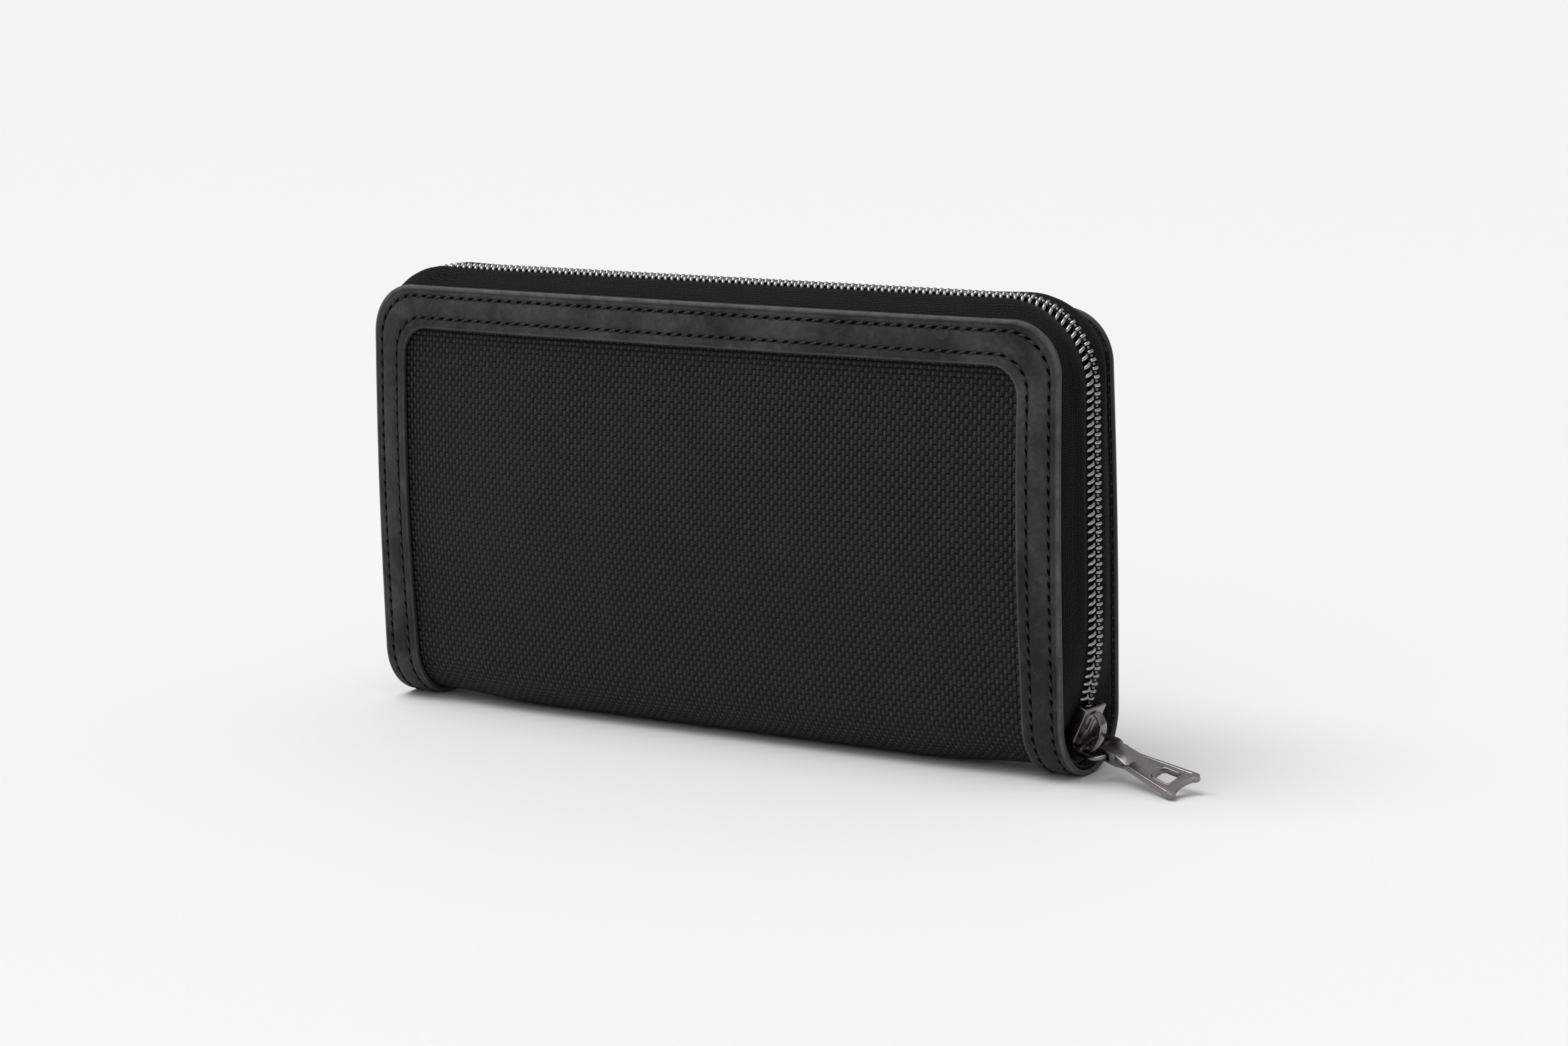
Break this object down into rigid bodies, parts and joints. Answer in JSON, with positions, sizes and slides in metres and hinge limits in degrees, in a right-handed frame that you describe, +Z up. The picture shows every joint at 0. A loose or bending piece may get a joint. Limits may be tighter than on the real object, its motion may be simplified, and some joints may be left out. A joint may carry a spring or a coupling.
{
  "type": "zip-around travel document organizer",
  "caption": "Zip-around wallet for travel papers that stands on its spine: cloth covers in a leather frame, coil zipper, ring and pull tab, card and passport pockets, and a zipped leaf inside.",
  "frame": {"origin": "middle of the spine, on the face the organizer stands on", "axes": "+X along the width towards the slider, -Y towards the front cover, +Z up"},
  "size_m": [0.2282, 0.0346, 0.1095],
  "materials": {
    "cloth": "coarse black basket-weave nylon",
    "leather": "matte black nubuck with scuffs",
    "board": "stiffening board",
    "lining": "smooth black lining",
    "zipper_tape": "black herringbone tape",
    "zipper_coil": "metallised gunmetal coil",
    "gunmetal": "black nickel plate"
  },
  "bodies": {
    "spine": {"spine_cloth": "cloth", "spine_leather_left": "leather", "spine_leather_right": "leather", "spine_lining": "lining"},
    "front_half": {"front_leather_trim": "leather", "front_cover_cloth": "cloth", "front_cover_board": "board", "front_lining": "lining", "card_panel": "lining", "card_slot_left_1": "lining", "card_slot_left_2": "lining", "card_slot_left_3": "lining", "card_slot_right_1": "lining", "card_slot_right_2": "lining", "card_slot_right_3": "lining", "front_zipper_tape": "zipper_tape", "front_zipper_coil": "zipper_coil", "front_zipper_stop": "gunmetal"},
    "back_half": {"back_leather_trim": "leather", "back_cover_cloth": "cloth", "back_cover_board": "board", "back_lining": "lining", "boarding_pass_pocket": "lining", "passport_pocket": "lining", "ticket_slot_1": "lining", "ticket_slot_2": "lining", "back_zipper_tape": "zipper_tape", "back_zipper_coil": "zipper_coil", "back_zipper_stop": "gunmetal"},
    "leaf": {"leaf_back_panel": "lining", "leaf_front_panel": "lining", "leaf_rim": "lining", "leaf_zipper_tape_lower": "zipper_tape", "leaf_zipper_tape_upper": "zipper_tape", "leaf_zipper_coil_lower": "zipper_coil", "leaf_zipper_coil_upper": "zipper_coil", "leaf_zipper_stop_left": "gunmetal", "leaf_zipper_stop_right": "gunmetal"},
    "slider": {"slider_body": "gunmetal", "slider_crown": "gunmetal", "slider_lock_spring": "gunmetal"},
    "bail": {"pull_ring": "gunmetal"},
    "puller": {"pull_tab": "gunmetal"},
    "pocket_slider": {"leaf_slider": "gunmetal"},
    "pocket_puller": {"leaf_slider_tab": "gunmetal"}
  },
  "joints": [
    {"name": "back_fold", "type": "hinge", "parent": "spine", "child": "back_half", "pos_m": [0, 0.0106, 0.0034], "axis": [-1, 0, 0], "range_deg": [0, 90]},
    {"name": "front_fold", "type": "hinge", "parent": "spine", "child": "front_half", "pos_m": [0, -0.0106, 0.0034], "axis": [1, 0, 0], "range_deg": [0, 90]},
    {"name": "leaf_turn", "type": "hinge", "parent": "spine", "child": "leaf", "pos_m": [0, 0, 0.0056], "axis": [1, 0, 0], "range_deg": [0, 72]},
    {"name": "slider_travel", "type": "hinge", "parent": "back_half", "child": "slider", "pos_m": [0.0464, 0, 0.033], "axis": [0, -1, 0], "range_deg": [0, 23.8]},
    {"name": "ring_swing", "type": "hinge", "parent": "slider", "child": "bail", "pos_m": [0.09698, -0.0005, 0.00717], "axis": [-0.3093, -0.896, -0.3186], "range_deg": [0, 30]},
    {"name": "tab_swing", "type": "hinge", "parent": "bail", "child": "puller", "pos_m": [0.10477, -0.00304, 0.00677], "axis": [-0.3093, -0.896, -0.3186], "range_deg": [0, 60]},
    {"name": "leaf_slider_travel", "type": "slide", "parent": "leaf", "child": "pocket_slider", "axis": [1, 0, 0], "range_m": [0, 0.116]},
    {"name": "leaf_tab_swing", "type": "hinge", "parent": "pocket_slider", "child": "pocket_puller", "pos_m": [-0.058, -0.005, 0.08], "axis": [-1, 0, 0], "range_deg": [0, 18]}
  ],
  "couplings": [
    {"joint": "front_fold", "follows": "back_fold", "ratio": 1},
    {"joint": "leaf_turn", "follows": "back_fold", "ratio": 0.8}
  ]
}
